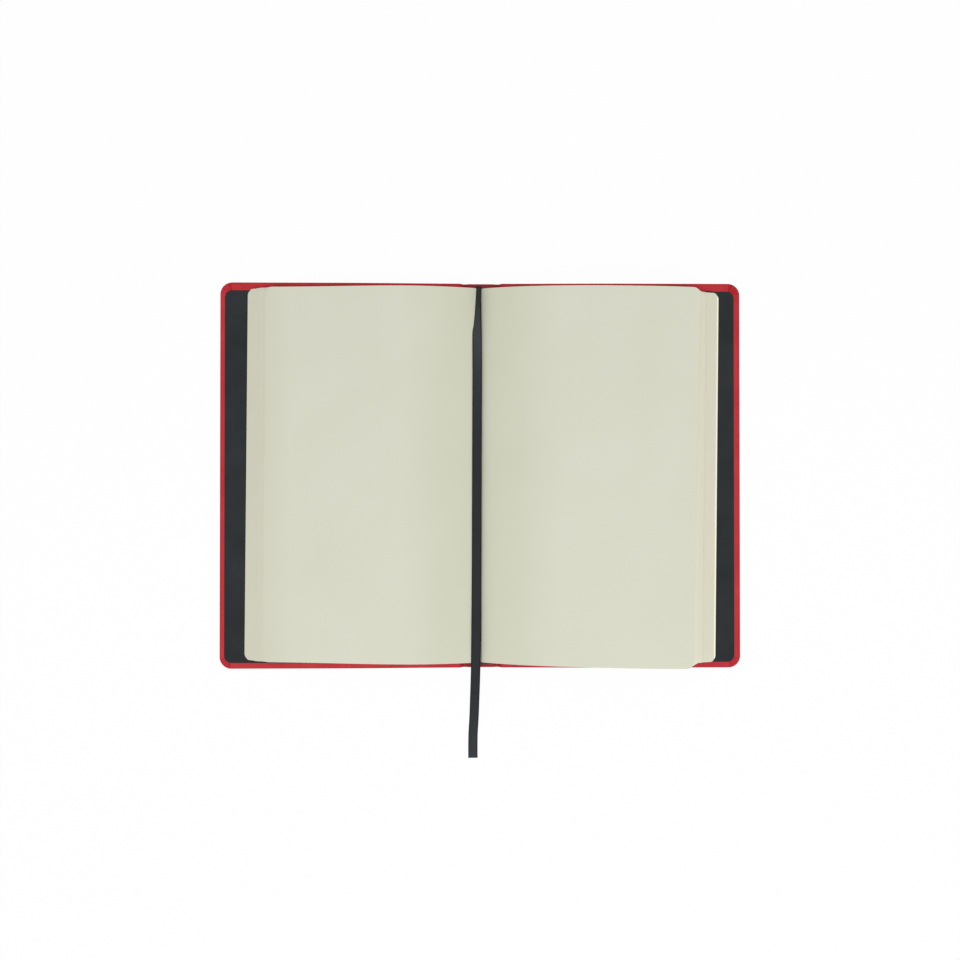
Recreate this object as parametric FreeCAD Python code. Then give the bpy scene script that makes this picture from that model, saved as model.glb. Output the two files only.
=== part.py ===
"""Pocket notebook, a sewn block of paper in a hard case, lying open at the middle.

Millimetres. X runs across the spread (front cover on -X, back cover on +X), Y along the spine with the
head at +Y, and Z up. The origin is under the middle of the spine, on the surface that the covers lie on.

Each half swings up a quarter turn about an axis along Y, until the book is shut and stands on its spine.
Laid open, a layer of the block at height z ends up, when shut, at the distance hinge_x - z from the
middle plane, and its folded edge at the height folds_level. swing_axis() follows from those two rules.
"""
import FreeCAD, Part
import math
import os

Vector = FreeCAD.Vector

# Case
cover_height = 140.0          # head to tail
spread_width = 189.0          # fore edge to fore edge, lying open
cover_corner = 4.3            # radius of the covers' outer corners
covering_thickness = 0.4      # the red covering material
board_thickness = 1.4         # the greyboards
turn_in_width = 12.0          # covering folded over onto the boards' inner face
front_border_fore = 1.8       # turn-in left showing round the pasted-down endpapers
back_border_fore = 2.3
border_head = 3.0
border_tail = 2.2
endpaper_thickness = 0.15
endpaper_corner = 2.6

# Spine
card_thickness = 0.6          # the strip that stiffens the spine
card_side_gap = 0.85          # from the strip's long edge to the hinge line
spine_pull_in = 0.2           # the spine's ends stand this far inside the covers' ends
spine_turn_in = 6.0
joint_clearance = 0.1         # covering against covering when a cover stands up
board_clearance = 0.15        # board's spine edge over the spine's turn-in when a cover stands up

# Block
section_count = 7             # sewn sections in each half
section_thickness = 0.5       # six leaves
springy_count = 3             # sections nearest the opening, which arch up while the book lies open
page_width = 79.3
page_end_square = 2.85        # the covers stand this far past the pages at the head and tail
page_corner = 2.4
closing_gap = 0.05            # from each half to the middle plane when shut

# How far each section's fold lies from the middle plane, lying open and straight, for the section next
# to the cover, and the step from one section to the next, first among the flat ones, then the springy ones.
front_first_fold = 5.5
front_fold_step = 1.05
front_springy_step = 1.3
back_first_fold = 6.7
back_fold_step = 1.3
back_springy_step = 1.95

# Back of the block
hollow = 0.05                 # between the spine's strip and the block's lining
lining_thickness = 0.15
mull_thickness = 0.2
mull_end_margin = 1.5         # lining and mull stop this far short of the spine's turn-ins
back_margin = 0.15            # lining, mull and bands stop short of the block's two faces
thread_diameter = 0.3
thread_clearance = 0.1        # folds over the thread
station_count = 4             # sewing stations along the back
station_spacing = 32.0
thread_pair_gap = 4.0         # between the two stitches of a station
band_diameter = 1.2           # rolled edge of the head and tail bands
band_tongue = 0.13
band_tongue_length = 6.5
band_gap = 0.15               # from the pages' ends to the rolled edge
band_seat = 0.02              # the roll stands this much over its tongue's underside

# Ribbon bookmark
ribbon_width = 3.4
ribbon_thickness = 0.25
ribbon_corner_share = 0.45    # of the shorter run, taken up by each corner's arc
ribbon_overhang = 0.1         # the glued end stands this far off the pages' ends
ribbon_start_x = -1.12
ribbon_start_z = 7.06
ribbon_route = [              # from its start, half the overhang past the pages' ends
    (-1.37, 62.50, 7.10),
    (-1.50, 55.00, 7.07),
    (-1.36, 41.00, 7.10),
    (-1.46, 16.00, 7.13),
    (-1.55, -12.00, 7.12),
    (-1.62, -40.00, 7.16),
    (-1.88, -66.50, 7.46),
    (-2.08, -75.00, 5.55),
    (-2.26, -81.00, 2.30),
    (-2.45, -88.00, 0.48),
    (-2.96, -95.50, 0.20),
    (-2.88, -102.90, 0.22),
]

# Springy sections, from the one nearest the cover to the one facing the reader. Each gives its mid-line's
# rise over lying flat, as a share of arch_rise, at shares of the way to its fore edge.
# On the front half they arch a little and lie flat again by the fore edge. On the back half they stand
# up loosely.
arch_rise = 7.0
front_arches = [
    [(0.10, 0.121), (0.23, 0.207), (0.36, 0.221), (0.54, 0.164), (0.77, 0.050), (1, 0.007)],
    [(0.10, 0.179), (0.23, 0.336), (0.36, 0.364), (0.54, 0.264), (0.77, 0.093), (1, 0.013)],
    [(0.09, 0.221), (0.23, 0.450), (0.36, 0.507), (0.54, 0.393), (0.77, 0.164), (1, 0.019)],
]
back_arches = [
    [(0.11, 0.150), (0.25, 0.293), (0.45, 0.350), (0.69, 0.307), (0.88, 0.221), (1, 0.179)],
    [(0.11, 0.264), (0.25, 0.536), (0.45, 0.693), (0.70, 0.664), (0.89, 0.579), (1, 0.536)],
    [(0.10, 0.307), (0.24, 0.650), (0.47, 0.936), (0.72, 1.007), (0.89, 0.979), (1, 0.907)],
]
gutter_gap = 0.15             # from the middle plane to the folds beside the opening
leaf_play = 0.1               # air between springy sections as they climb out of the gutter
bend_radius = 0.6             # tightest bend out of the gutter, of the mid-line nearest the cover
bend_height = 4.25            # height of the bends' common centre
leaving_slope = 22.0          # degrees from level, where a section leaves the bend
arch_samples = 24             # points along each side of an arch

front_half = (front_first_fold, front_fold_step, front_springy_step, front_arches)
back_half = (back_first_fold, back_fold_step, back_springy_step, back_arches)

# Heights that follow, lying open
board_top = covering_thickness + board_thickness
cover_top = board_top + covering_thickness
pastedown_top = cover_top + endpaper_thickness
block_bottom = pastedown_top + endpaper_thickness
firm_count = section_count - springy_count
firm_top = block_bottom + firm_count * section_thickness
flat_block_top = block_bottom + section_count * section_thickness
card_top = covering_thickness + card_thickness
spine_top = card_top + covering_thickness
lining_bottom = card_top + hollow
mull_bottom = lining_bottom + lining_thickness
mull_top = mull_bottom + mull_thickness
back_top = max(mull_top, spine_top)
folds_level = mull_top + thread_diameter + thread_clearance
springy_pitch = section_thickness + leaf_play
arch_foot = folds_level + section_thickness

# Distances from the middle plane, and half heights
cover_edge = spread_width / 2
hinge_x = flat_block_top + closing_gap
board_edge = hinge_x + spine_top + board_clearance
half_cover = cover_height / 2
half_spine = half_cover - spine_pull_in
half_page = half_cover - page_end_square
back_half_width = hinge_x - pastedown_top - back_margin
bend_x = gutter_gap + section_thickness / 2 + (springy_count - 1) * springy_pitch + bend_radius


def plan(inner, outer, half_height, radius, bottom, top):
    """A plate from inner to outer in X and half_height each way in Y, with its two outer corners rounded."""
    bend = radius * (1 - math.sqrt(0.5))
    straight = outer - radius
    rim = half_height - radius
    points = {
        "tail": Vector(straight, -half_height, bottom),
        "tail_mid": Vector(outer - bend, -half_height + bend, bottom),
        "tail_side": Vector(outer, -rim, bottom),
        "head_side": Vector(outer, rim, bottom),
        "head_mid": Vector(outer - bend, half_height - bend, bottom),
        "head": Vector(straight, half_height, bottom),
    }
    inner_tail = Vector(inner, -half_height, bottom)
    inner_head = Vector(inner, half_height, bottom)
    outline = Part.Wire([
        Part.makeLine(inner_tail, points["tail"]),
        Part.Arc(points["tail"], points["tail_mid"], points["tail_side"]).toShape(),
        Part.makeLine(points["tail_side"], points["head_side"]),
        Part.Arc(points["head_side"], points["head_mid"], points["head"]).toShape(),
        Part.makeLine(points["head"], inner_head),
        Part.makeLine(inner_head, inner_tail),
    ])
    return Part.Face(outline).extrude(Vector(0, 0, top - bottom))


def block(x0, x1, y0, y1, z0, z1):
    """A box between two corners."""
    return Part.makeBox(x1 - x0, y1 - y0, z1 - z0, Vector(x0, y0, z0))


def to_front(shape):
    """The same piece on the front half, which is the mirror image of the back half."""
    return shape.mirror(Vector(0, 0, 0), Vector(1, 0, 0))


def cover_covering():
    """Outer face, wrapped edges and turn-in of one cover; it runs on past the board to the hinge line."""
    start = hinge_x + joint_clearance / 2
    skin = plan(start, cover_edge, half_cover, cover_corner, 0, cover_top)
    joint_room = block(start - 1, board_edge, -half_cover - 1, half_cover + 1, covering_thickness, cover_top + 1)
    window = plan(board_edge, cover_edge - turn_in_width, half_cover - turn_in_width, endpaper_corner,
                  board_top, cover_top)
    return skin.cut(joint_room).cut(cover_board()).cut(window)


def cover_board():
    """Greyboard inside the covering."""
    radius = cover_corner - covering_thickness
    return plan(board_edge, cover_edge - covering_thickness, half_cover - covering_thickness, radius,
                covering_thickness, board_top)


def pastedown(border_fore):
    """Endpaper pasted to the board and over the turn-ins, stepped down to the board inside them."""
    sheet = plan(board_edge, cover_edge - border_fore, half_cover - (border_head + border_tail) / 2,
                 endpaper_corner, cover_top, pastedown_top)
    sheet.translate(Vector(0, (border_tail - border_head) / 2, 0))
    inset = plan(board_edge, cover_edge - turn_in_width, half_cover - turn_in_width, endpaper_corner,
                 board_top, cover_top)
    return sheet.fuse(inset).removeSplitter()


def fold_distance(half, index):
    """How far a section's fold would lie from the middle plane if the section lay flat and straight."""
    first, step, springy_step, arches = half
    springy = max(index - (firm_count - 1), 0)
    return first - (index - springy) * step - springy * springy_step


def flyleaf(first_fold):
    """The loose half of the endpaper, under the first section."""
    return plan(first_fold, first_fold + page_width, half_page, page_corner, pastedown_top, block_bottom)


def firm_section(half, index):
    """A section that lies flat: folded sheets, with rounded corners at the fore edge."""
    fold = fold_distance(half, index)
    bottom = block_bottom + index * section_thickness
    return plan(fold, fold + page_width, half_page, page_corner, bottom, bottom + section_thickness)


def arch_side(offset, radius, samples, leaving):
    """One side of a springy section's profile: up out of the gutter, round the bend, and along the arch."""
    centre = Vector(bend_x, 0, bend_height)
    turned = (math.pi / 2 - leaving) / 2
    at = radius + offset
    foot = Vector(bend_x - at, 0, arch_foot)
    start = Vector(bend_x - at, 0, bend_height)
    middle = centre + Vector(-math.cos(turned), 0, math.sin(turned)) * at
    end = centre + Vector(-math.sin(leaving), 0, math.cos(leaving)) * at
    points = [end] + [point + side * offset for point, side in samples[1:]]
    arch = Part.BSplineCurve()
    arch.interpolate(Points=points, InitialTangent=Vector(math.cos(leaving), 0, math.sin(leaving)))
    edges = [Part.makeLine(foot, start), Part.Arc(start, middle, end).toShape(), arch.toShape()]
    return edges, foot, points[-1]


def arched_section(half, place):
    """A springy section: it climbs out of the gutter and arches over the firm ones.

    The bends out of the gutter are concentric, so that the sections keep an even distance there.
    """
    rises = half[-1][place]
    fore = page_width + fold_distance(half, firm_count + place)
    flat = firm_top + (place + 0.5) * section_thickness
    radius = bend_radius + place * springy_pitch
    leaving = math.radians(leaving_slope)
    along = Vector(math.cos(leaving), 0, math.sin(leaving))
    start = Vector(bend_x, 0, bend_height) + Vector(-along.z, 0, along.x) * radius
    mid_line = Part.BSplineCurve()
    crests = [Vector(share * fore, 0, flat + rise * arch_rise) for share, rise in rises]
    mid_line.interpolate(Points=[start] + crests, InitialTangent=along)
    samples = []
    for step in range(arch_samples + 1):
        # closer together near the bend, where the curve is tighter
        share = (step / arch_samples) ** 1.5
        at = mid_line.FirstParameter + share * (mid_line.LastParameter - mid_line.FirstParameter)
        tangent = mid_line.tangent(at)[0]
        samples.append((mid_line.value(at), Vector(-tangent.z, 0, tangent.x)))
    upper, upper_foot, upper_end = arch_side(section_thickness / 2, radius, samples, leaving)
    lower, lower_foot, lower_end = arch_side(-section_thickness / 2, radius, samples, leaving)
    outline = Part.Wire(Part.sortEdges(
        lower + upper + [Part.makeLine(lower_end, upper_end), Part.makeLine(lower_foot, upper_foot)])[0])
    profile = Part.Face(outline)
    profile.translate(Vector(0, -half_page, 0))
    arch = profile.extrude(Vector(0, 2 * half_page, 0))
    fore_edge = max(upper_end.x, lower_end.x)
    return arch.common(plan(0, fore_edge, half_page, page_corner, 0, 2 * cover_edge))


def spine_covering():
    """Covering under the spine's strip, folded over its head and tail ends."""
    half_width = hinge_x - covering_thickness - joint_clearance
    skin = block(-half_width, half_width, -half_spine, half_spine, 0, spine_top)
    room = block(-half_width - 1, half_width + 1, spine_turn_in - half_spine, half_spine - spine_turn_in,
                 covering_thickness, spine_top + 1)
    return skin.cut(room).cut(spine_card())


def spine_card():
    """Strip that stiffens the spine."""
    half_width = hinge_x - card_side_gap
    half_length = half_spine - covering_thickness
    return block(-half_width, half_width, -half_length, half_length, covering_thickness, card_top)


def back_strip(bottom, thickness):
    """A layer glued across the back of the block."""
    half_length = half_spine - spine_turn_in - mull_end_margin
    return block(-back_half_width, back_half_width, -half_length, half_length, bottom, bottom + thickness)


def sewing_thread():
    """Pairs of stitches that cross the back from section to section at each sewing station."""
    radius = thread_diameter / 2
    stitches = []
    for index in range(station_count):
        station = (index - (station_count - 1) / 2) * station_spacing
        for side in (-1, 1):
            start = Vector(-back_half_width, station + side * thread_pair_gap / 2, mull_top + radius)
            stitches.append(Part.makeCylinder(radius, 2 * back_half_width, start, Vector(1, 0, 0)))
    return Part.makeCompound(stitches)


def end_band():
    """Head band: a rolled edge that covers the ends of the folds, with its tongue glued under them."""
    radius = band_diameter / 2
    roll_y = half_page + band_gap + radius
    roll = Part.makeCylinder(radius, 2 * back_half_width,
                             Vector(-back_half_width, roll_y, back_top + band_seat + radius), Vector(1, 0, 0))
    tongue = block(-back_half_width, back_half_width, roll_y - band_tongue_length, roll_y,
                   back_top, back_top + band_tongue)
    return roll.fuse(tongue).removeSplitter()


def route_edges(points):
    """Straight runs joined by tangent arcs, and the arcs' radii."""
    edges, radii = [], []
    last = points[0]
    for before, corner, after in zip(points, points[1:], points[2:]):
        to_before, to_after = before - corner, after - corner
        shorter = min(to_before.Length, to_after.Length)
        half_turn = (math.pi - to_before.getAngle(to_after)) / 2
        reach = ribbon_corner_share * shorter
        radius = reach / math.tan(half_turn)
        start = corner + to_before.normalize() * reach
        end = corner + to_after.normalize() * reach
        inward = (start + end) * 0.5 - corner
        middle = corner + inward.normalize() * (radius / math.cos(half_turn) - radius)
        edges.append(Part.makeLine(last, start))
        edges.append(Part.Arc(start, middle, end).toShape())
        radii.append(radius)
        last = end
    edges.append(Part.makeLine(last, points[-1]))
    return edges, radii


def ribbon():
    """Flat satin ribbon, from the head band over the head and down the gutter, onto the table at the tail."""
    start = Vector(ribbon_start_x, half_page + ribbon_overhang / 2, ribbon_start_z)
    points = [start] + [Vector(*point) for point in ribbon_route]
    edges, radii = route_edges(points)
    path = Part.Wire(edges)
    along = (points[1] - points[0]).normalize()
    across = Vector(1, 0, 0)
    through = along.cross(across).normalize()
    corners = [
        points[0] + across * (a * ribbon_width / 2) + through * (b * ribbon_thickness / 2)
        for a, b in ((-1, -1), (1, -1), (1, 1), (-1, 1), (-1, -1))
    ]
    sweep = Part.BRepOffsetAPI.MakePipeShell(path)
    sweep.setBiNormalMode(across)
    sweep.add(Part.makePolygon(corners))
    sweep.build()
    sweep.makeSolid()
    solid = sweep.shape()
    expected = ribbon_width * ribbon_thickness * path.Length
    print("ribbon length %.1f, radii %s" % (path.Length, [round(radius, 1) for radius in radii]))
    print("ribbon volume %.3f, section times length %.3f" % (solid.Volume, expected))
    return solid


def ribbon_end():
    """The ribbon's glued end: it comes up from the head band and leans over the head of the pages."""
    roll_y = half_page + band_gap + band_diameter / 2
    roll_top = back_top + band_seat + band_diameter
    near = half_page + ribbon_overhang
    top = ribbon_start_z + ribbon_thickness / 2
    side = [
        Vector(0, roll_y, roll_top),
        Vector(0, near, top),
        Vector(0, near + ribbon_thickness, top),
        Vector(0, roll_y + ribbon_thickness, roll_top),
        Vector(0, roll_y, roll_top),
    ]
    strip = Part.Face(Part.makePolygon(side)).extrude(Vector(ribbon_width, 0, 0))
    strip.translate(Vector(ribbon_start_x - ribbon_width / 2, 0, 0))
    return strip


def swing_axis(fold):
    """Where the axis of a layer lies, as distance from the middle plane and height."""
    height = (folds_level - fold + hinge_x) / 2
    return hinge_x - height, height


def build():
    """Every node of the notebook, by name."""
    nodes = {
        "spine_covering": spine_covering(),
        "spine_card": spine_card(),
        "spine_lining": back_strip(lining_bottom, lining_thickness),
        "mull": back_strip(mull_bottom, mull_thickness),
        "sewing_thread": sewing_thread(),
        "head_band": end_band(),
        "tail_band": end_band().mirror(Vector(0, 0, 0), Vector(0, 1, 0)),
        "ribbon_end": ribbon_end(),
        "ribbon": ribbon(),
        "back_covering": cover_covering(),
        "back_board": cover_board(),
        "back_pastedown": pastedown(back_border_fore),
        "back_flyleaf": flyleaf(back_first_fold),
        "front_covering": to_front(cover_covering()),
        "front_board": to_front(cover_board()),
        "front_pastedown": to_front(pastedown(front_border_fore)),
        "front_flyleaf": to_front(flyleaf(front_first_fold)),
    }
    for index in range(section_count):
        if index < firm_count:
            front, back = firm_section(front_half, index), firm_section(back_half, index)
        else:
            place = index - firm_count
            front, back = arched_section(front_half, place), arched_section(back_half, place)
        nodes["section_%02d" % (index + 1)] = to_front(front)
        nodes["section_%02d" % (2 * section_count - index)] = back
    return nodes


def print_axes():
    """The swing axes of the covers and sections: distance from the middle plane, and height."""
    print("covers %.4f, %.4f" % (hinge_x, 0))
    for name, half in (("front", front_half), ("back", back_half)):
        for index in range(section_count):
            print("%s section %d: %.4f, %.4f" % (name, index + 1, *swing_axis(fold_distance(half, index))))


os.makedirs("parts", exist_ok=True)
for name, shape in build().items():
    if not shape.isValid():
        print("not valid:", name)
    shape.exportStep("parts/%s.step" % name)
print_axes()
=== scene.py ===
import math
import random

import bmesh
import bpy
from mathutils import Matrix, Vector


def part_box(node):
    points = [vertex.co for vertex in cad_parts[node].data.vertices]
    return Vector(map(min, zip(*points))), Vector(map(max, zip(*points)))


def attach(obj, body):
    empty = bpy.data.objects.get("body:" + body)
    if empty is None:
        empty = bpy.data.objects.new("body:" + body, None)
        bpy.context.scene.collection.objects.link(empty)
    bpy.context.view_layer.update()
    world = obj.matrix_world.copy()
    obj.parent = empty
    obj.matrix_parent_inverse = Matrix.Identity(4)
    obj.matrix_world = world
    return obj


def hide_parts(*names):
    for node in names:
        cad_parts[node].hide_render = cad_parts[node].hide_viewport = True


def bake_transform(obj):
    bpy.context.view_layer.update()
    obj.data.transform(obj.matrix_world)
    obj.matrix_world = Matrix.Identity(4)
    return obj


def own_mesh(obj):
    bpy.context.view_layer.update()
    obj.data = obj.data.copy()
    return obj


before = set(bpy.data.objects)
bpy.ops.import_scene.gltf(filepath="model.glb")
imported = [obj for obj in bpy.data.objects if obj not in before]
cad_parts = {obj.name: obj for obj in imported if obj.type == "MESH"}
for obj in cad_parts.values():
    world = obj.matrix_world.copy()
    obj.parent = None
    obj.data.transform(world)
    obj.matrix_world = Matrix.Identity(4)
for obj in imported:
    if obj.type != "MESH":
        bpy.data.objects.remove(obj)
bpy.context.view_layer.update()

mm = 0.001
random.seed(14)

# ---------------------------------------------------------------------------------------------------
# Camera. It looks straight down on the open spread from about 32 cm, as a reader would over a desk.
# It is a hair off square, so the front cover and the tail come out slightly larger.
# ---------------------------------------------------------------------------------------------------
scene = bpy.context.scene
scene.view_settings.view_transform = "Standard"

camera_height = 322.2 * mm
camera_aim = Vector((-0.3, -1.7, 0)) * mm
lean_to_back = 0.0135
lean_to_head = 0.008
focal_length = 33.06
sensor_width = 36

lens = bpy.data.cameras.new("spread_camera")
lens.sensor_width = sensor_width
lens.lens = focal_length
camera = bpy.data.objects.new("spread_camera", lens)
scene.collection.objects.link(camera)
camera.location = camera_aim + Vector((-lean_to_back, -lean_to_head, 1)) * camera_height
camera.rotation_euler = (lean_to_head, -lean_to_back, 0)
scene.camera = camera

# ---------------------------------------------------------------------------------------------------
# Ribbon bookmark. A flat black satin ribbon, woven with a firm selvedge down each side. It comes up
# from the head band, lies down the gutter on the open page and runs out past the tail, cut straight.
# ---------------------------------------------------------------------------------------------------
ribbon_width = 3.4 * mm
ribbon_route = [
    (-0.00112, 0.06720, 0.00706),
    (-0.00137, 0.06250, 0.00710),
    (-0.00150, 0.05500, 0.00707),
    (-0.00136, 0.04100, 0.00710),
    (-0.00146, 0.01600, 0.00713),
    (-0.00155, -0.01200, 0.00712),
    (-0.00162, -0.04000, 0.00716),
    (-0.00188, -0.06650, 0.00746),
    (-0.00208, -0.07500, 0.00555),
    (-0.00226, -0.08100, 0.00230),
    (-0.00245, -0.08800, 0.00048),
    (-0.00296, -0.09550, 0.00020),
    (-0.00288, -0.10290, 0.00022),
]
# shares of half the width, and half the thickness there: the selvedges are the thick parts
ribbon_section = [
    (-1.0, 0.07 * mm), (-0.97, 0.125 * mm), (-0.87, 0.125 * mm), (-0.81, 0.085 * mm),
    (-0.4, 0.085 * mm), (0.0, 0.085 * mm), (0.4, 0.085 * mm),
    (0.81, 0.085 * mm), (0.87, 0.125 * mm), (0.97, 0.125 * mm), (1.0, 0.07 * mm),
]
ribbon_head_twist = math.radians(54)
ribbon_twist_length = 23 * mm
selvedge_share = 0.8          # share of half the width where the selvedge starts
weft_pitch = 0.26             # threads across the ribbon, in millimetres
warp_pitch = 0.12


def add_mesh(name, vertices, faces):
    """A new object from vertices and faces, shaded smooth except over sharp edges."""
    mesh = bpy.data.meshes.new(name)
    mesh.from_pydata([tuple(vertex) for vertex in vertices], [], faces)
    mesh.validate()
    tidy = bmesh.new()
    tidy.from_mesh(mesh)
    bmesh.ops.recalc_face_normals(tidy, faces=tidy.faces)
    tidy.to_mesh(mesh)
    tidy.free()
    mesh.shade_smooth()
    mesh.set_sharp_from_angle(angle=math.radians(40))
    piece = bpy.data.objects.new(name, mesh)
    scene.collection.objects.link(piece)
    return piece


def tube_faces(rings, around):
    """Quads between rings of `around` vertices each, and a cap on each end."""
    faces = [list(range(around))[::-1], [(rings - 1) * around + k for k in range(around)]]
    for ring in range(rings - 1):
        for k in range(around):
            after = (k + 1) % around
            faces.append([ring * around + k, ring * around + after,
                          (ring + 1) * around + after, (ring + 1) * around + k])
    return faces


def srgb(red, green, blue):
    """A colour as it is given, 0 to 255, in the renderer's linear values."""
    return tuple((part / 255) ** 2.2 for part in (red, green, blue)) + (1,)


def new_finish(name, roughness):
    """A material with its main shader, and texture coordinates in millimetres of the piece's own frame."""
    material = bpy.data.materials.new(name)
    material.use_nodes = True
    nodes, links = material.node_tree.nodes, material.node_tree.links
    shader = nodes["Principled BSDF"]
    shader.inputs["Roughness"].default_value = roughness
    place = nodes.new("ShaderNodeTexCoord")
    scale = nodes.new("ShaderNodeMapping")
    scale.inputs["Scale"].default_value = (1000, 1000, 1000)
    links.new(place.outputs["Object"], scale.inputs["Vector"])
    return material, nodes, links, shader, scale.outputs["Vector"]


def noise_of(nodes, links, vector, scale, detail=4, stretch=(1, 1, 1)):
    """Noise, with `scale` features per millimetre, stretched along the axes."""
    mapping = nodes.new("ShaderNodeMapping")
    mapping.inputs["Scale"].default_value = stretch
    noise = nodes.new("ShaderNodeTexNoise")
    noise.inputs["Scale"].default_value = scale
    noise.inputs["Detail"].default_value = detail
    links.new(vector, mapping.inputs["Vector"])
    links.new(mapping.outputs["Vector"], noise.inputs["Vector"])
    return noise.outputs["Fac"]


def ramp_of(nodes, links, factor, stops):
    """Colours at shares of a factor."""
    ramp = nodes.new("ShaderNodeValToRGB")
    ramp.color_ramp.elements[0].position, ramp.color_ramp.elements[0].color = stops[0]
    ramp.color_ramp.elements[1].position, ramp.color_ramp.elements[1].color = stops[-1]
    for position, colour in stops[1:-1]:
        ramp.color_ramp.elements.new(position).color = colour
    links.new(factor, ramp.inputs["Fac"])
    return ramp.outputs["Color"]


def axes_of(nodes, links, vector):
    """The X, Y and Z of a place, as three values."""
    axes = nodes.new("ShaderNodeSeparateXYZ")
    links.new(vector, axes.inputs["Vector"])
    return axes.outputs


def share_of(nodes, links, value, low, high, most=1.0):
    """0 where a value is below low, `most` where it is above high, and even steps between them."""
    share = nodes.new("ShaderNodeMapRange")
    share.inputs["From Min"].default_value = low
    share.inputs["From Max"].default_value = high
    share.inputs["To Max"].default_value = most
    links.new(value, share.inputs["Value"])
    return share.outputs["Result"]


def multiply_of(nodes, links, first, second, factor=1.0):
    """The first colour, darkened by the second."""
    mix = nodes.new("ShaderNodeMix")
    mix.data_type = "RGBA"
    mix.blend_type = "MULTIPLY"
    mix.inputs["Factor"].default_value = factor
    links.new(first, mix.inputs["A"])
    links.new(second, mix.inputs["B"])
    return mix.outputs["Result"]


def add_bump(nodes, links, shader, height, distance, strength=1.0):
    """Relief of `distance` metres from a height, on top of any relief that the shader has."""
    bump = nodes.new("ShaderNodeBump")
    bump.inputs["Distance"].default_value = distance
    bump.inputs["Strength"].default_value = strength
    links.new(height, bump.inputs["Height"])
    if shader.inputs["Normal"].is_linked:
        links.new(shader.inputs["Normal"].links[0].from_socket, bump.inputs["Normal"])
    links.new(bump.outputs["Normal"], shader.inputs["Normal"])


def waves_of(nodes, links, vector, axis, period, distortion=0.0):
    """Parallel threads across an axis, one every `period` millimetres."""
    wave = nodes.new("ShaderNodeTexWave")
    wave.wave_type = "BANDS"
    wave.bands_direction = axis
    wave.inputs["Scale"].default_value = math.pi / (10 * period)    # the texture has 10 / pi bands a unit
    wave.inputs["Distortion"].default_value = distortion
    links.new(vector, wave.inputs["Vector"])
    return wave.outputs["Fac"]


satin, nodes, links, shader, vector = new_finish("ribbon_satin", 0.6)
# painted sheen: the satin is lighter where it is turned on edge at the head, and where it runs
# down off the block. Colours at shares of the way from the tail end to the head end
from_tail = share_of(nodes, links, axes_of(nodes, links, vector)["Y"], -103, 67)
colour = ramp_of(nodes, links, from_tail,
                 [(0.0, srgb(55, 59, 62)), (0.08, srgb(47, 51, 54)), (0.2, srgb(40, 43, 46)),
                  (0.65, srgb(41, 44, 47)), (0.8, srgb(49, 53, 56)), (0.9, srgb(64, 68, 71)),
                  (0.95, srgb(60, 64, 67)), (0.98, srgb(47, 50, 52))])
uneven = ramp_of(nodes, links, noise_of(nodes, links, vector, 0.5, 3, (1, 0.3, 1)),
                 [(0.3, srgb(236, 236, 236)), (0.7, srgb(255, 255, 255))])
links.new(multiply_of(nodes, links, colour, uneven), shader.inputs["Base Color"])
shader.inputs["Specular IOR Level"].default_value = 0.18
shader.inputs["Sheen Weight"].default_value = 0.02
shader.inputs["Sheen Roughness"].default_value = 0.4
add_bump(nodes, links, shader, waves_of(nodes, links, vector, "Y", weft_pitch, 0.3), 0.02 * mm, 0.7)
add_bump(nodes, links, shader, waves_of(nodes, links, vector, "X", warp_pitch), 0.01 * mm, 0.5)

selvedge, nodes, links, shader, vector = new_finish("ribbon_selvedge", 0.7)
links.new(ramp_of(nodes, links, waves_of(nodes, links, vector, "Y", weft_pitch, 0.3),
                  [(0.2, srgb(24, 26, 28)), (0.8, srgb(38, 41, 43))]), shader.inputs["Base Color"])
shader.inputs["Specular IOR Level"].default_value = 0.2

route_curve = bpy.data.curves.new("ribbon_route", "CURVE")
route_curve.dimensions = "3D"
spline = route_curve.splines.new("NURBS")
spline.points.add(len(ribbon_route) - 1)
for point, place in zip(spline.points, ribbon_route):
    point.co = (*place, 1)
spline.order_u = 3
spline.use_endpoint_u = True
spline.resolution_u = 14
route_object = bpy.data.objects.new("ribbon_route", route_curve)
scene.collection.objects.link(route_object)
bpy.context.view_layer.update()
route_mesh = bpy.data.meshes.new_from_object(route_object)
ribbon_line = [vertex.co.copy() for vertex in route_mesh.vertices]
bpy.data.objects.remove(route_object)

ribbon_rings = []
run = 0
for index, centre in enumerate(ribbon_line):
    before = ribbon_line[max(index - 1, 0)]
    after = ribbon_line[min(index + 1, len(ribbon_line) - 1)]
    along = (after - before).normalized()
    run += (centre - before).length
    left = max(0, 1 - run / ribbon_twist_length)
    twist = ribbon_head_twist * left * left * (3 - 2 * left)
    level = Vector((1, 0, 0)) - along * along.x
    level.normalize()
    up = along.cross(level)
    across = level * math.cos(twist) + up * math.sin(twist)
    out = up * math.cos(twist) - level * math.sin(twist)
    half = ribbon_width / 2
    ribbon_rings += [centre + across * share * half + out * thick for share, thick in ribbon_section]
    ribbon_rings += [centre + across * share * half - out * thick for share, thick in ribbon_section[::-1]]
ribbon = add_mesh("ribbon_bookmark", ribbon_rings, tube_faces(len(ribbon_line), 2 * len(ribbon_section)))
ribbon.data.materials.append(satin)
ribbon.data.materials.append(selvedge)
ribbon_shares = [share for share, thick in ribbon_section]
ribbon_shares += ribbon_shares[::-1]
for index, face in enumerate(ribbon.data.polygons[2:]):      # the first two close its ends
    k = index % len(ribbon_shares)
    middle = (ribbon_shares[k] + ribbon_shares[(k + 1) % len(ribbon_shares)]) / 2
    if abs(middle) > selvedge_share:
        face.material_index = 1
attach(ribbon, "section_07")
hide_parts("ribbon")
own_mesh(ribbon)

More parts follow.
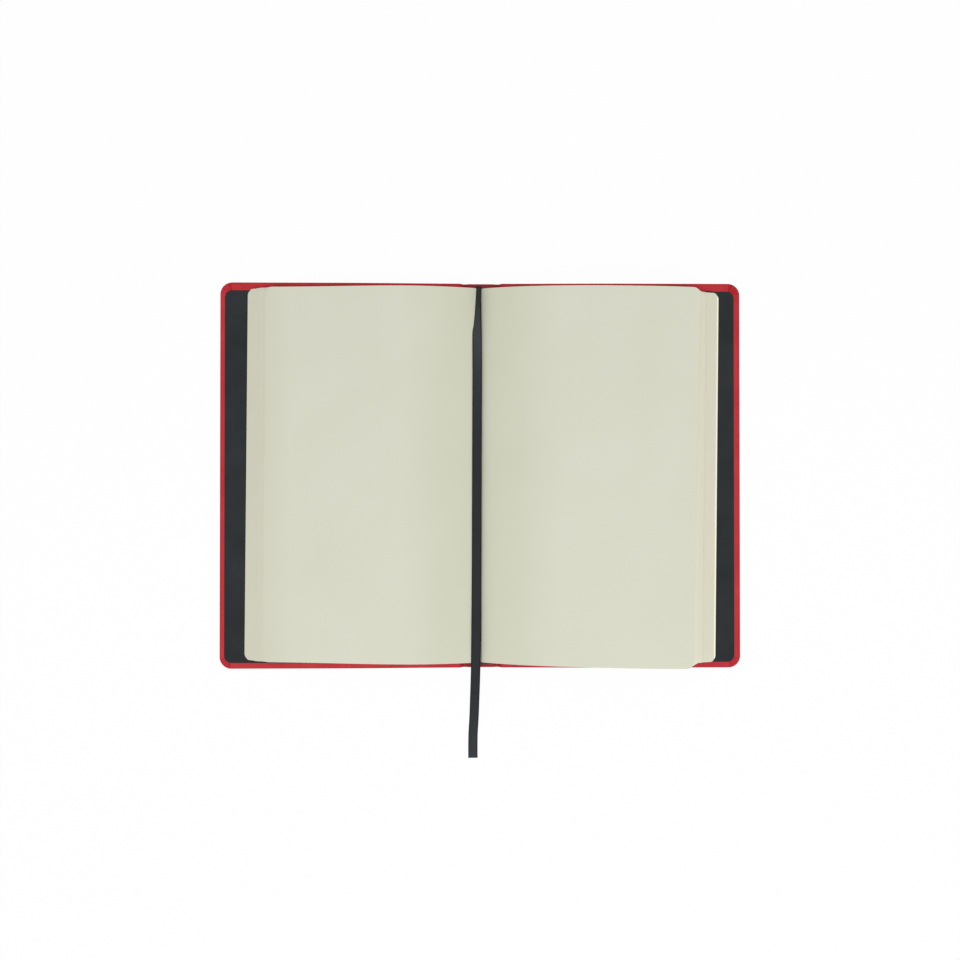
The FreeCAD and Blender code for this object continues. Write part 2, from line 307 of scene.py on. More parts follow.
# ---------------------------------------------------------------------------------------------------
# Case covering. One sheet of red leatherette, 0.4 mm thick, glued over both boards and the spine's
# strip and turned in over their edges. It bends at the joints on either side of the spine, and it is
# puckered into small pleats where it is turned round the corners. Here it is in two halves that meet
# in the middle of the spine.
# ---------------------------------------------------------------------------------------------------
covering_thickness = 0.4 * mm
cover_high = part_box("back_covering")[1]
cover_edge, half_cover, board_level = cover_high.x, cover_high.y, cover_high.z
cover_corner = 4.3 * mm
spine_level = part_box("spine_covering")[1].z
joint_level = 0.85 * mm       # the sheet's height down in the joint
spine_pull_in = half_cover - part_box("spine_covering")[1].y
bow_length = 50 * mm          # the covers' head and tail edges draw in over this, towards the spine
joint_line = 6.05 * mm        # from the spine's middle to the line that a cover swings about
edge_round = 0.6 * mm         # radius of the sheet round a board's edge
flat_inset = 14 * mm          # from here inwards the outer face is one flat panel
pleat_depth = 0.3 * mm
pleat_angles = (14, 33, 50, 69, 82)
pleat_spread = 3.2            # degrees from a pleat's bottom to its rim
corner_steps = 48
edge_columns = [0, 2, 3.8, 4.4, 4.7, 5.0, 5.3, 5.6, 5.9, 6.2, 6.5, 6.8, 7.1, 7.4, 7.7, 8.0, 8.6,
                10, 14, 20, 28, 36, 44, 52, 60, 68, 75]
edge_columns = [column * mm for column in edge_columns] + [cover_edge - flat_inset]
# the sheet is laid out in rings: on the turn-in, each with its inset from the edge and its share of the
# pleats' depth, then round the edge in even steps, then on the outer face
turn_in_rings = ((9 * mm, 0), (4 * mm, 1), (1.9 * mm, 1), (1.1 * mm, 1))
edge_steps = 8
outer_insets = (1.2 * mm, 4 * mm, 8 * mm, flat_inset)
edge_pleats = 1.2             # the pleats are this much deeper where they go round the edge
spine_slope = (4.4 * mm, 5.6 * mm)    # where the turn-in goes down off the spine's strip
board_slope = (6.3 * mm, 7.7 * mm)    # and up onto the board
panel_rows = 16


def step_between(value, low, high):
    """0 below low, 1 above high, and smooth between them."""
    share = min(max((value - low) / (high - low), 0), 1)
    return share * share * (3 - 2 * share)


def covering_level(x):
    """Height of the turned-in covering: over the spine's strip, down into the joint, up onto the board."""
    over_spine = 1 - step_between(x, *spine_slope)
    over_board = step_between(x, *board_slope)
    return joint_level + (spine_level - joint_level) * over_spine + (board_level - joint_level) * over_board


def covering_outline(inset):
    """Points round a half of the case, this far in from its edge, with how deep each lies in a pleat."""
    radius = max(cover_corner - inset, 0)
    straight_end = cover_edge - inset - radius
    arc_y = half_cover - inset - radius
    half = []
    for x in edge_columns:
        pull = spine_pull_in * (1 - step_between(x, joint_line, bow_length)) * (1 - inset / flat_inset)
        half.append((x, half_cover - inset - pull, 0))
    last = edge_columns[-1]
    half += [(last + (straight_end - last) * k / 4, half_cover - inset, 0) for k in (1, 2, 3)]
    for k in range(corner_steps + 1):
        angle = 90 - 90 * k / corner_steps
        pleat = max(0, 1 - min(abs(angle - crease) for crease in pleat_angles) / pleat_spread)
        turn = math.radians(angle)
        half.append((straight_end + radius * math.cos(turn), arc_y + radius * math.sin(turn), pleat))
    corner_y = half_cover - flat_inset
    half += [(cover_edge - inset, arc_y + (corner_y - arc_y) * k / 4, 0) for k in (1, 2, 3)]
    rows = [corner_y - 2 * corner_y * k / panel_rows for k in range(panel_rows + 1)]
    fore = [(cover_edge - inset, y, 0) for y in rows]
    return half + fore + [(x, -y, pleat) for x, y, pleat in half[::-1]]


def covering_half(name, side):
    """Half of the case: the turn-in, the rounded edge and the outer face, as a sheet with its thickness."""
    profile = [(inset, 0, share) for inset, share in turn_in_rings]
    for k in range(edge_steps + 1):
        turn = math.pi * k / edge_steps
        profile.append((edge_round * (1 - math.sin(turn)), turn, edge_pleats * max(0, math.cos(turn))))
    profile += [(inset, math.pi, 0) for inset in outer_insets]
    rings = []
    for inset, turn, share in profile:
        ring = []
        for x, y, pleat in covering_outline(inset):
            level = covering_level(x)
            bend = min(edge_round, level / 2)
            centre = level - bend if turn <= math.pi / 2 else bend
            ring.append(Vector((side * x, y, centre + bend * math.cos(turn) - pleat * pleat_depth * share)))
        rings.append(ring)
    vertices = [vertex for ring in rings for vertex in ring]
    around = len(rings[0])
    faces = []
    for part in range(len(rings) - 1):
        for k in range(around - 1):
            faces.append([part * around + k, part * around + k + 1, (part + 1) * around + k + 1,
                          (part + 1) * around + k])
    panel_start = len(vertices)
    corner_y = half_cover - flat_inset
    for row in range(panel_rows + 1):
        for x in edge_columns:
            vertices.append(Vector((side * x, corner_y - 2 * corner_y * row / panel_rows, 0)))
    wide = len(edge_columns)
    for row in range(panel_rows):
        for k in range(wide - 1):
            at = panel_start + row * wide + k
            faces.append([at, at + 1, at + wide + 1, at + wide])
    mesh = bpy.data.meshes.new(name)
    mesh.from_pydata([tuple(vertex) for vertex in vertices], [], faces)
    sheet = bmesh.new()
    sheet.from_mesh(mesh)
    bmesh.ops.remove_doubles(sheet, verts=sheet.verts, dist=0.004 * mm)
    bmesh.ops.recalc_face_normals(sheet, faces=sheet.faces)
    lowest = min(sheet.faces, key=lambda face: face.calc_center_median().z)
    if lowest.normal.z > 0:
        bmesh.ops.reverse_faces(sheet, faces=sheet.faces)
    sheet.to_mesh(mesh)
    sheet.free()
    flat = bpy.data.objects.new(name, mesh)
    scene.collection.objects.link(flat)
    solidify = flat.modifiers.new("thickness", "SOLIDIFY")
    solidify.thickness = covering_thickness * 0.95
    solidify.offset = -1
    solidify.use_even_offset = False
    flat.data = bpy.data.meshes.new_from_object(flat.evaluated_get(bpy.context.evaluated_depsgraph_get()))
    flat.modifiers.clear()
    flat.data.shade_smooth()
    flat.data.set_sharp_from_angle(angle=math.radians(50))
    return flat


leatherette, nodes, links, shader, vector = new_finish("red_leatherette", 0.55)
cloud = noise_of(nodes, links, vector, 0.09, 5)
colour = ramp_of(nodes, links, cloud,
                 [(0.3, srgb(186, 38, 48)), (0.5, srgb(197, 45, 55)), (0.7, srgb(203, 51, 61))])
speckle = noise_of(nodes, links, vector, 3.0, 3)
darker = ramp_of(nodes, links, speckle, [(0.3, srgb(206, 200, 200)), (0.62, srgb(255, 255, 255))])
colour = multiply_of(nodes, links, colour, darker, 0.55)
# painted shade: the colour is darker round the rounded edge, below the level of the turn-in, where it faces
# away from the light
painted_edge_shade_share = share_of(nodes, links, axes_of(nodes, links, vector)["Z"], 1.2, 2.05)
painted_edge_shade = ramp_of(nodes, links, painted_edge_shade_share, [(0.0, srgb(208, 200, 205)), (1.0, srgb(255, 255, 255))])
links.new(multiply_of(nodes, links, colour, painted_edge_shade), shader.inputs["Base Color"])
grain = nodes.new("ShaderNodeTexVoronoi")
grain.feature = "DISTANCE_TO_EDGE"
grain.inputs["Scale"].default_value = 2.2
links.new(vector, grain.inputs["Vector"])
add_bump(nodes, links, shader, ramp_of(nodes, links, grain.outputs["Distance"],
                                       [(0.0, (0, 0, 0, 1)), (0.22, (1, 1, 1, 1))]), 0.03 * mm, 0.6)
add_bump(nodes, links, shader, noise_of(nodes, links, vector, 1.4, 5), 0.05 * mm, 0.5)
shader.inputs["Specular IOR Level"].default_value = 0.25

for side, half in ((-1, "front"), (1, "back")):
    wrap = covering_half(half + "_covering_wrap", side)
    wrap.data.materials.append(leatherette)
    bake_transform(wrap)
    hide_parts(half + "_covering", "spine_covering")

# ---------------------------------------------------------------------------------------------------
# Boards and spine strip. Grey millboard, cut square and glued inside the covering; only their cut
# edges could ever show, in the joints.
# ---------------------------------------------------------------------------------------------------
def dress(node, finish):
    """A finish on a piece that comes as it is from the frame."""
    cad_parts[node].data.materials.clear()
    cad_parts[node].data.materials.append(finish)


greyboard, nodes, links, shader, vector = new_finish("greyboard", 0.9)
fibre = noise_of(nodes, links, vector, 1.2, 6, (1, 0.4, 1))
links.new(ramp_of(nodes, links, fibre, [(0.3, srgb(120, 112, 100)), (0.7, srgb(158, 150, 136))]),
          shader.inputs["Base Color"])
add_bump(nodes, links, shader, fibre, 0.05 * mm, 0.6)
for node in ("front_board", "back_board", "spine_card"):
    dress(node, greyboard)

# ---------------------------------------------------------------------------------------------------
# Endpapers. One black uncoated sheet at each end of the block: its outer half is pasted down inside
# the cover over the turn-ins, and its inner half is the flyleaf under the first section.
# ---------------------------------------------------------------------------------------------------
endpaper, nodes, links, shader, vector = new_finish("black_endpaper", 0.82)
fibre = noise_of(nodes, links, vector, 2.4, 6)
cloud = noise_of(nodes, links, vector, 0.07, 3)
colour = ramp_of(nodes, links, cloud, [(0.3, srgb(42, 46, 48)), (0.7, srgb(50, 54, 56))])
flecks = ramp_of(nodes, links, fibre, [(0.35, srgb(225, 225, 225)), (0.65, srgb(255, 255, 255))])
links.new(multiply_of(nodes, links, colour, flecks, 0.7), shader.inputs["Base Color"])
shader.inputs["Specular IOR Level"].default_value = 0.25
add_bump(nodes, links, shader, fibre, 0.03 * mm, 0.6)
for node in ("front_pastedown", "back_pastedown", "front_flyleaf", "back_flyleaf"):
    dress(node, endpaper)

# ---------------------------------------------------------------------------------------------------
# Back of the block. Kraft paper lining, open-weave mull and linen sewing thread, one over the other
# across the folds of the sections, held with glue.
# ---------------------------------------------------------------------------------------------------
kraft, nodes, links, shader, vector = new_finish("kraft_lining", 0.85)
fibre = noise_of(nodes, links, vector, 1.5, 6, (0.3, 1, 1))
links.new(ramp_of(nodes, links, fibre, [(0.3, srgb(140, 108, 74)), (0.7, srgb(176, 141, 100))]),
          shader.inputs["Base Color"])
add_bump(nodes, links, shader, fibre, 0.03 * mm, 0.5)

gauze_pitch = 0.6             # threads of the mull, in millimetres
gauze, nodes, links, shader, vector = new_finish("mull_gauze", 0.9)
warp = waves_of(nodes, links, vector, "X", gauze_pitch, 0.4)
weft = waves_of(nodes, links, vector, "Y", gauze_pitch, 0.4)
crossing = nodes.new("ShaderNodeMath")
crossing.operation = "MAXIMUM"
links.new(warp, crossing.inputs[0])
links.new(weft, crossing.inputs[1])
links.new(ramp_of(nodes, links, crossing.outputs[0],
                  [(0.35, srgb(150, 142, 120)), (0.8, srgb(228, 224, 208))]), shader.inputs["Base Color"])
add_bump(nodes, links, shader, crossing.outputs[0], 0.1 * mm, 0.7)

linen, nodes, links, shader, vector = new_finish("linen_thread", 0.7)
ply = waves_of(nodes, links, vector, "DIAGONAL", 0.25, 0.5)
links.new(ramp_of(nodes, links, ply, [(0.2, srgb(190, 182, 158)), (0.8, srgb(234, 230, 212))]),
          shader.inputs["Base Color"])
add_bump(nodes, links, shader, ply, 0.05 * mm, 0.8)

for node, finish in (("spine_lining", kraft), ("mull", gauze), ("sewing_thread", linen)):
    dress(node, finish)

# ---------------------------------------------------------------------------------------------------
# Head and tail bands. A rolled edge of black thread, wound over a cord core and woven to a cloth
# tongue; the tongue is glued under the folds, and the roll covers their ends.
# ---------------------------------------------------------------------------------------------------
thread_pitch = 0.3 * mm
thread_relief = 0.04 * mm
roll_diameter = 1.2 * mm
roll_around = 14
rings_a_thread = 4
tongue_thickness = 0.12 * mm

band_cloth, nodes, links, shader, vector = new_finish("band_cloth", 0.6)
thread = waves_of(nodes, links, vector, "X", thread_pitch / mm, 0.6)
links.new(ramp_of(nodes, links, thread, [(0.2, srgb(26, 27, 29)), (0.8, srgb(52, 54, 57))]),
          shader.inputs["Base Color"])
add_bump(nodes, links, shader, thread, 0.04 * mm, 0.6)
shader.inputs["Sheen Weight"].default_value = 0.2

for name, end in (("head_band", 1), ("tail_band", -1)):
    low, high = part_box(name)
    radius = roll_diameter / 2
    roll_y, inner_y = (high.y - radius, low.y) if end > 0 else (low.y + radius, high.y)
    roll_z = high.z - radius
    rings = int((high.x - low.x) / (thread_pitch / rings_a_thread))
    band_points = []
    for ring in range(rings + 1):
        x = low.x + (high.x - low.x) * ring / rings
        for k in range(roll_around):
            angle = 2 * math.pi * k / roll_around
            # the winding runs round the core at a slight slant
            wind = math.sin(2 * math.pi * (x / thread_pitch) + angle)
            reach = radius - thread_relief * (0.5 - 0.5 * wind)
            y = roll_y + reach * math.cos(angle)
            band_points.append(Vector((x, y, roll_z + reach * math.sin(angle))))
    band_faces = tube_faces(rings + 1, roll_around)
    # the tongue, a thin strip that reaches from the roll in under the folds
    base = len(band_points)
    for x in (low.x, high.x):
        for y in sorted((inner_y, roll_y)):
            for z in (low.z, low.z + tongue_thickness):
                band_points.append(Vector((x, y, z)))
    band_faces += [[base + k for k in quad] for quad in
                   ((0, 1, 3, 2), (4, 6, 7, 5), (0, 4, 5, 1), (2, 3, 7, 6), (0, 2, 6, 4), (1, 5, 7, 3))]
    band = add_mesh(name + "_roll", band_points, band_faces)
    band.data.materials.append(band_cloth)
    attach(band, "spine")
    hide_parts(name)

# The ribbon's glued end, next to the head band. It stands up there and leans over the ends of
# the pages, and turns on edge as it goes up, to meet the ribbon's own twist.
end_low, end_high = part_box("ribbon_end")
end_x = ribbon_route[0][0]
end_line = [
    Vector((end_x, end_high.y - 0.25 * mm, end_low.z)),
    Vector((end_x, end_high.y - 0.3 * mm, end_low.z + 1.2 * mm)),
    Vector((end_x, end_low.y + 0.35 * mm, end_high.z - 1.1 * mm)),
    Vector((end_x, end_low.y + 0.3 * mm, end_high.z - 0.15 * mm)),
]
least_twist = 0.6             # share of the head's twist at the glued foot
end_rings = []
for index, centre in enumerate(end_line):
    twist = ribbon_head_twist * (least_twist + (1 - least_twist) * index / (len(end_line) - 1))
    across = Vector((math.cos(twist), math.sin(twist) * 0.08, math.sin(twist) * 0.1)) * ribbon_width / 2
    out = Vector((0, 1, 0))
    end_rings += [centre + across * share + out * thick for share, thick in ribbon_section]
    end_rings += [centre + across * share - out * thick for share, thick in ribbon_section[::-1]]
ribbon_end = add_mesh("ribbon_glued_end", end_rings, tube_faces(len(end_line), 2 * len(ribbon_section)))
ribbon_end.data.materials.append(satin)
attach(ribbon_end, "spine")
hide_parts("ribbon_end")

# ---------------------------------------------------------------------------------------------------
# Pages. Cream, unprinted, uncoated paper with rounded corners at the fore edge. Four sections of each
# half lie flat; each is three folded sheets, and each leaf steps back a little from the one below it.
# ---------------------------------------------------------------------------------------------------


def page_finish(name, painted_light_colour, fan_start, fan_end, fan_weight=1.0):
    """Cream paper with painted shade towards the gutter, and the painted light that it turns to between two
    distances out on the back half, in mm.
    """
    finish, nodes, links, shader, vector = new_finish(name, 0.88)
    cloud = noise_of(nodes, links, vector, 0.05, 4)
    colour = ramp_of(nodes, links, cloud, [(0.25, srgb(213, 214, 196)), (0.75, srgb(216, 217, 200))])
    x = axes_of(nodes, links, vector)["X"]
    from_middle = nodes.new("ShaderNodeMath")
    from_middle.operation = "ABSOLUTE"
    links.new(x, from_middle.inputs[0])
    # painted shade: darker and yellower towards the gutter, where light reaches it least. Also a little
    # darker at the front's fore edge
    out_of_gutter = share_of(nodes, links, from_middle.outputs["Value"], 2, 28)
    gutter = ramp_of(nodes, links, out_of_gutter,
                     [(0.0, srgb(247, 247, 241)), (0.5, srgb(249, 249, 245)), (1.0, srgb(255, 255, 254))])
    off_fore_edge = share_of(nodes, links, x, -78, -68)
    fore_edge = ramp_of(nodes, links, off_fore_edge, [(0.0, srgb(250, 247, 246)), (1.0, srgb(255, 255, 255))])
    colour = multiply_of(nodes, links, multiply_of(nodes, links, colour, gutter), fore_edge)
    paler = nodes.new("ShaderNodeMix")
    paler.data_type = "RGBA"
    links.new(share_of(nodes, links, x, fan_start, fan_end, fan_weight), paler.inputs["Factor"])
    links.new(colour, paler.inputs["A"])
    paler.inputs["B"].default_value = painted_light_colour
    links.new(paler.outputs["Result"], shader.inputs["Base Color"])
    add_bump(nodes, links, shader, noise_of(nodes, links, vector, 2.0, 5), 0.012 * mm, 0.5)
    shader.inputs["Specular IOR Level"].default_value = 0.3
    return finish


# painted light: the paper turns paler out on the back half's fan, the loose leaves most, as if light came
# through them, and the lowest cut edge there has a painted highlight
paper = page_finish("cream_paper", srgb(220, 217, 198), 75.4, 77.0, 0.85)
fan_painted_light_paper = page_finish("fan_painted_light_paper", srgb(232, 229, 209), 73.0, 74.4)
painted_highlight_paper = page_finish("painted_highlight_paper", srgb(250, 248, 228), 73.0, 74.4)
lit_columns = 3               # columns of faces along a leaf's fore edge that have the painted highlight

page_low, page_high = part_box("section_04")
half_page = page_high.y
firm_top = page_high.z
page_corner = 2.4 * mm
section_count = 14
firm_count = 4
leaves_per_section = 6
leaf_pitch = (page_high.z - page_low.z) / leaves_per_section
leaf_thickness = 0.95 * leaf_pitch
leaf_rows = 12
leaf_columns = 6              # from the fold to the corners
fold_steps = 6
corner_columns = [page_corner * (1 - math.sin(math.radians(90 * k / 8))) for k in range(9)]
# no two leaves are cut or laid quite alike
cut_play = 0.12 * mm
step_play = (-0.12 * mm, 0.08 * mm)
lean_play = 0.0006
# the block sits a little turned in its case: how far each half's fore edge leans, and its slide to the tail
front_lean, back_lean = -0.0075, 0.0115
front_slide, back_slide = -0.0045, 0.008


def leaf(name, side, path, fore, tail_shift=0.0, skew=0.0, finish=paper, lit_edge=False):
    """A leaf of paper along a path of (distance from the middle, height), across the page's height.

    It is narrowed towards `fore`, the fore edge, by the rounded corners. tail_shift slides its fore edge
    down to the tail, skew leans that edge, and lit_edge paints a highlight on its cut edge at the path's end.
    """
    count = len(path)
    sides = []
    for index, (x, z) in enumerate(path):
        x0, z0 = path[max(index - 1, 0)]
        x1, z1 = path[min(index + 1, count - 1)]
        length = math.hypot(x1 - x0, z1 - z0)
        sides.append((-(z1 - z0) / length, (x1 - x0) / length))
    vertices = []
    half = half_page - random.uniform(0, cut_play)
    lean = (front_lean if side < 0 else back_lean) + random.uniform(-lean_play, lean_play)
    slide = front_slide if side < 0 else back_slide
    for face in (1, -1):
        for (x, z), (normal_x, normal_z) in zip(path, sides):
            over = x - (fore - page_corner)
            reach = half
            if over > 0:
                reach -= page_corner - math.sqrt(max(page_corner ** 2 - min(over, page_corner) ** 2, 0))
            share = min(max(x / fore, 0), 1)
            for row in range(leaf_rows + 1):
                y = reach * (2 * row / leaf_rows - 1)
                at = x + face * normal_x * leaf_thickness / 2 + (skew + lean) * y * share
                y -= tail_shift * share ** 2.2 + slide * x
                height = z + face * normal_z * leaf_thickness / 2
                vertices.append(Vector((side * at, y, height)))
    wide = leaf_rows + 1
    lower = count * wide
    faces = []
    for index in range(count - 1):
        for row in range(leaf_rows):
            at = index * wide + row
            faces.append([at, at + 1, at + wide + 1, at + wide])
            faces.append([lower + at, lower + at + wide, lower + at + wide + 1, lower + at + 1])
        for at in (index * wide, index * wide + leaf_rows):
            faces.append([at, at + wide, lower + at + wide, lower + at])
    for row in range(leaf_rows):
        for at in (row, (count - 1) * wide + row):
            faces.append([at, at + 1, lower + at + 1, lower + at])
    piece = add_mesh(name, vertices, faces)
    piece.data.materials.append(finish)
    # the last columns by the fore edge get the painted highlight
    if lit_edge:
        piece.data.materials.append(painted_highlight_paper)
        faces_a_column = 2 * leaf_rows + 2
        for face in piece.data.polygons[(count - 1 - lit_columns) * faces_a_column:]:
            face.material_index = 1
    return piece


def join_pieces(pieces, name):
    """Several meshes made into one object."""
    joined = bmesh.new()
    for piece in pieces:
        joined.from_mesh(piece.data)
        bpy.data.objects.remove(piece)
    mesh = bpy.data.meshes.new(name)
    joined.to_mesh(mesh)
    joined.free()
    mesh.materials.append(paper)
    # second slot: the painted highlight on a cut edge
    mesh.materials.append(painted_highlight_paper)
    whole = bpy.data.objects.new(name, mesh)
    scene.collection.objects.link(whole)
    return whole


for side in (-1, 1):
    for index in range(firm_count):
        number = index + 1 if side < 0 else section_count - index
        node = "section_%02d" % number
        low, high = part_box(node)
        fold, fore = (-high.x, -low.x) if side < 0 else (low.x, high.x)
        # each section steps back from the one below; the last one's leaves keep the step before them
        if index < firm_count - 1:
            next_low, next_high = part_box("section_%02d" % (number - side))
            step = fore - (-next_low.x if side < 0 else next_high.x)
        middle = (low.z + high.z) / 2
        sheets = []
        for sheet in range(leaves_per_section // 2):
            radius = (leaves_per_section - 1 - 2 * sheet) * leaf_pitch / 2
            turn_x = fold + leaf_thickness / 2 + sheet * leaf_pitch + radius
            halves = []
            edges = []
            for level in (1, -1):
                place = sheet if level < 0 else leaves_per_section - 1 - sheet
                edge = fore - step * place / leaves_per_section + random.uniform(*step_play)
                corner = edge - page_corner
                xs = [turn_x + (corner - turn_x) * k / leaf_columns for k in range(leaf_columns)]
                xs += [edge - inset for inset in corner_columns]
                halves.append([(x, middle + level * radius) for x in xs])
                edges.append(edge)
            arc = [(turn_x - radius * math.sin(math.pi * k / fold_steps),
                    middle + radius * math.cos(math.pi * k / fold_steps)) for k in range(1, fold_steps)]
            path = halves[0][::-1] + arc + halves[1]
            # the back half's lowest section gets the painted highlight on its cut edge
            sheets.append(leaf("sheet", side, path, max(edges), lit_edge=side > 0 and index == 0))
        section = join_pieces(sheets, node + "_leaves")
        section.data.shade_smooth()
        section.data.set_sharp_from_angle(angle=math.radians(40))
        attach(section, node)
        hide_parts(node)

# ---------------------------------------------------------------------------------------------------
# Springy pages. The three sections on each side of the opening come up out of the gutter and arch over
# the flat ones, leaf by leaf. The front ones come to rest again at the fore edge; the back ones
# stand up loosely and fan out there.
# ---------------------------------------------------------------------------------------------------
springy_count = 3
springy_leaves = springy_count * leaves_per_section
lowest_fold = 1.81 * mm       # from the middle to the lowest springy leaf's fold
fold_pitch = 0.1 * mm
bend_radius = 0.5 * mm
bend_height = 4.2 * mm        # of the lowest leaf's bend out of the gutter
bend_rise = 0.065 * mm        # from one leaf's bend to the next
bend_steps = 6
leaving_slope = 22            # degrees from level, where the lowest leaf leaves the bend
leaving_spread = 4            # degrees more for the top leaf
arch_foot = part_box("section_05")[0].z
foot_clearance = 0.05 * mm
arch_columns = 30
loose_from = 0.8              # share of the way up from which the leaves lie looser, and askew

# the fore edges of the lowest and the top leaf, as distances from the middle
front_fan = (80.5 * mm, 77.45 * mm)
back_fan = (80.7 * mm, 75.7 * mm)
# for each section: the rise over lying flat, in millimetres, at shares of the way to its fore edge
front_arches = [
    [(0.10, 0.85), (0.23, 1.45), (0.36, 1.55), (0.54, 1.15), (0.77, 0.35), (1, 0.05)],
    [(0.10, 1.25), (0.23, 2.35), (0.36, 2.55), (0.54, 1.85), (0.77, 0.65), (1, 0.09)],
    [(0.09, 1.55), (0.23, 3.15), (0.36, 3.55), (0.54, 2.75), (0.77, 1.15), (1, 0.13)],
]
back_arches = [
    [(0.11, 1.05), (0.25, 2.05), (0.45, 2.45), (0.69, 2.15), (0.88, 1.55), (1, 1.25)],
    [(0.11, 1.85), (0.25, 3.75), (0.45, 4.85), (0.70, 4.65), (0.89, 4.05), (1, 3.75)],
    [(0.10, 2.15), (0.24, 4.55), (0.47, 6.55), (0.72, 7.05), (0.89, 6.85), (1, 6.35)],
]


def rises_between(arches, share):
    """Rises for a leaf that lies this share of the way up through the springy sections."""
    at = share * springy_count - 0.5
    low = min(max(int(math.floor(at)), 0), springy_count - 2)
    blend = at - low
    rises = []
    for (share0, rise0), (share1, rise1) in zip(arches[low], arches[low + 1]):
        rises.append((share0 + (share1 - share0) * blend, max(rise0 + (rise1 - rise0) * blend, 0.02)))
    return rises


def arch_height(knots, x):
    """Height of a smooth curve through knots of (x, z, slope)."""
    for (x0, z0, slope0), (x1, z1, slope1) in zip(knots, knots[1:]):
        if x <= x1 or (x1, z1, slope1) == knots[-1]:
            span = x1 - x0
            t = min(max((x - x0) / span, 0), 1)
            return ((2 * t ** 3 - 3 * t ** 2 + 1) * z0 + (t ** 3 - 2 * t ** 2 + t) * span * slope0
                    + (3 * t ** 2 - 2 * t ** 3) * z1 + (t ** 3 - t ** 2) * span * slope1)


for half, side, lowest_section, arches, fan, top_skew, top_shift in (
        ("front", -1, 5, front_arches, front_fan, 0.005, 0),
        ("back", 1, 10, back_arches, back_fan, 0.0095, 0.5 * mm)):
    for index in range(springy_leaves):
        section = "section_%02d" % (lowest_section - side * (index // leaves_per_section))
        share = (index + 0.5) / springy_leaves
        fore = fan[0] + (fan[1] - fan[0]) * index / (springy_leaves - 1)
        flat = firm_top + (index + 0.5) * leaf_pitch
        leaving = math.radians(leaving_slope + leaving_spread * share)
        fold_x = lowest_fold - index * fold_pitch
        centre_x = fold_x + bend_radius
        centre_z = bend_height + index * bend_rise
        start_x = centre_x - bend_radius * math.sin(leaving)
        start_z = centre_z + bend_radius * math.cos(leaving)
        knots = [(start_x, start_z)]
        knots += [(part * fore, flat + rise * mm) for part, rise in rises_between(arches, share)]
        slopes = [math.tan(leaving)]
        for k in range(1, len(knots)):
            (x0, z0), (x1, z1) = knots[k - 1], knots[min(k + 1, len(knots) - 1)]
            slopes.append((z1 - z0) / (x1 - x0))
        knots = [(x, z, slope) for (x, z), slope in zip(knots, slopes)]
        path = [(fold_x, arch_foot + foot_clearance), (fold_x, centre_z)]
        for k in range(1, bend_steps + 1):
            turned = (math.pi / 2 - leaving) * k / bend_steps
            x = centre_x - bend_radius * math.cos(turned)
            path.append((x, centre_z + bend_radius * math.sin(turned)))
        fore += random.uniform(-cut_play, cut_play)
        # the columns are closer together near the bend, where the leaf curves most
        columns = [start_x + (fore - page_corner - start_x) * (k / arch_columns) ** 1.4
                   for k in range(1, arch_columns)]
        columns += [fore - inset for inset in corner_columns]
        path += [(x, arch_height(knots, x)) for x in columns]
        loose = max(0, share - loose_from) / (1 - loose_from)
        # the top leaf of the back half lies on the fan and has the plain colour; the leaves under it get the
        # painted light
        fanned = side > 0 and index < springy_leaves - 1
        piece = leaf("%s_leaf_%02d" % (half, index + 1), side, path, fore, tail_shift=loose * top_shift,
                     skew=loose * top_skew, finish=fan_painted_light_paper if fanned else paper)
        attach(piece, section)
        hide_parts(section)
        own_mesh(piece)

# ---------------------------------------------------------------------------------------------------
# Table and light. A plain white table top, and soft, nearly even light from a big lamp overhead and
# the room around it.
# ---------------------------------------------------------------------------------------------------
table_half = 2
table_level = -0.02 * mm
table_glow = 0.95             # share of plain white that is seen on the table top, so that it looks even
room_light = 0.57
lamp_place = Vector((0.04, -0.30, 0.8))
lamp_size = 0.7
lamp_energy = 3.95

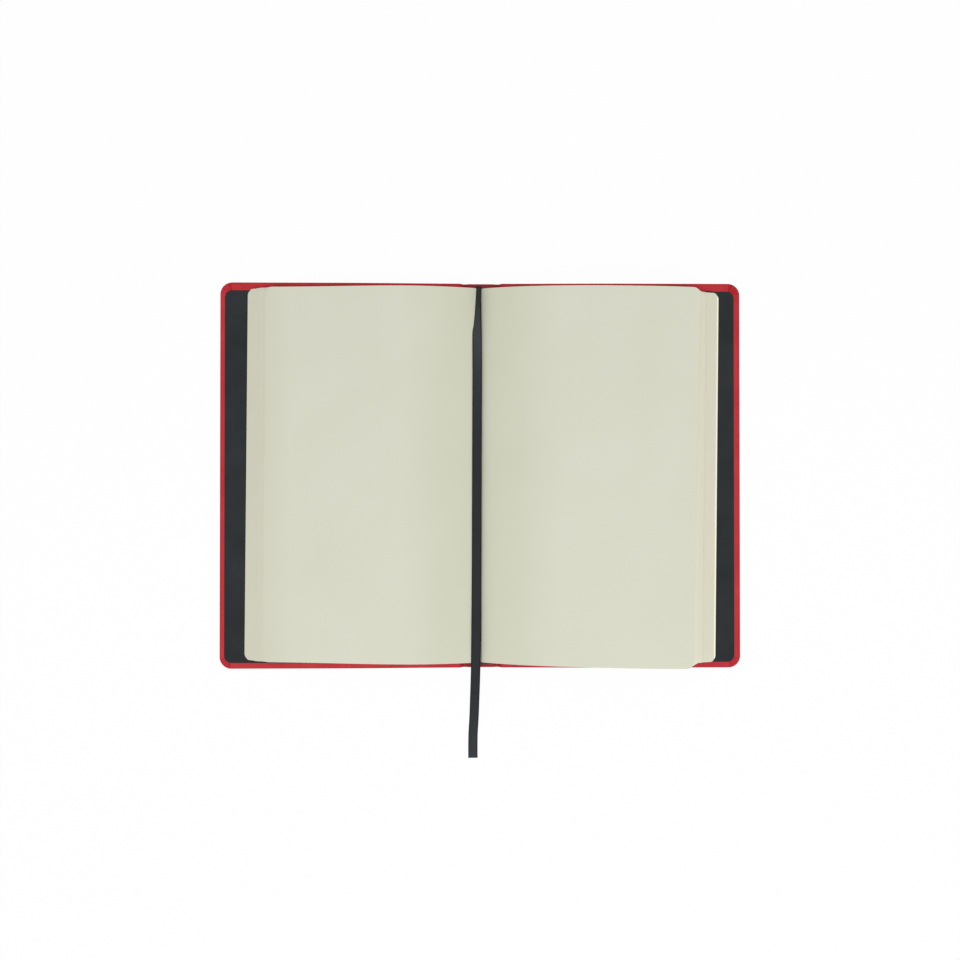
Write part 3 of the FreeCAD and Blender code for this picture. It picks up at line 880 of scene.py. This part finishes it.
table_mesh = bpy.data.meshes.new("table_top")
table_mesh.from_pydata([(-table_half, -table_half, table_level), (table_half, -table_half, table_level),
                        (table_half, table_half, table_level), (-table_half, table_half, table_level)],
                       [], [[0, 1, 2, 3]])
table = bpy.data.objects.new("table_top", table_mesh)
scene.collection.objects.link(table)
table_finish, nodes, links, shader, vector = new_finish("white_table", 0.9)
shader.inputs["Base Color"].default_value = (0.9, 0.9, 0.9, 1)
glow = nodes.new("ShaderNodeEmission")
glow.inputs["Color"].default_value = (1, 1, 1, 1)
glow.inputs["Strength"].default_value = 1
rays = nodes.new("ShaderNodeLightPath")
glossy = nodes.new("ShaderNodeMath")
glossy.operation = "MAXIMUM"
links.new(rays.outputs["Is Camera Ray"], glossy.inputs[0])
links.new(rays.outputs["Is Glossy Ray"], glossy.inputs[1])
seen = nodes.new("ShaderNodeMath")
seen.operation = "MAXIMUM"
links.new(glossy.outputs[0], seen.inputs[0])
links.new(rays.outputs["Is Transmission Ray"], seen.inputs[1])
share = nodes.new("ShaderNodeMath")
share.operation = "MULTIPLY"
share.inputs[1].default_value = table_glow
links.new(seen.outputs[0], share.inputs[0])
blend = nodes.new("ShaderNodeMixShader")
links.new(share.outputs[0], blend.inputs["Fac"])
links.new(shader.outputs["BSDF"], blend.inputs[1])
links.new(glow.outputs["Emission"], blend.inputs[2])
links.new(blend.outputs["Shader"], nodes["Material Output"].inputs["Surface"])
table.data.materials.append(table_finish)

world = bpy.data.worlds.new("room")
scene.world = world
world.use_nodes = True
nodes, links = world.node_tree.nodes, world.node_tree.links
nodes["Background"].inputs["Color"].default_value = (1, 1, 1, 1)
nodes["Background"].inputs["Strength"].default_value = room_light
backdrop = nodes.new("ShaderNodeBackground")
backdrop.inputs["Color"].default_value = (1, 1, 1, 1)
backdrop.inputs["Strength"].default_value = 1
rays = nodes.new("ShaderNodeLightPath")
blend = nodes.new("ShaderNodeMixShader")
links.new(rays.outputs["Is Camera Ray"], blend.inputs["Fac"])
links.new(nodes["Background"].outputs["Background"], blend.inputs[1])
links.new(backdrop.outputs["Background"], blend.inputs[2])
links.new(blend.outputs["Shader"], nodes["World Output"].inputs["Surface"])

lamp = bpy.data.lights.new("overhead_lamp", "AREA")
lamp.shape = "SQUARE"
lamp.size = lamp_size
lamp.energy = lamp_energy
lamp_object = bpy.data.objects.new("overhead_lamp", lamp)
scene.collection.objects.link(lamp_object)
lamp_object.location = lamp_place
lamp_object.rotation_euler = (-lamp_place).to_track_quat("-Z", "Y").to_euler()
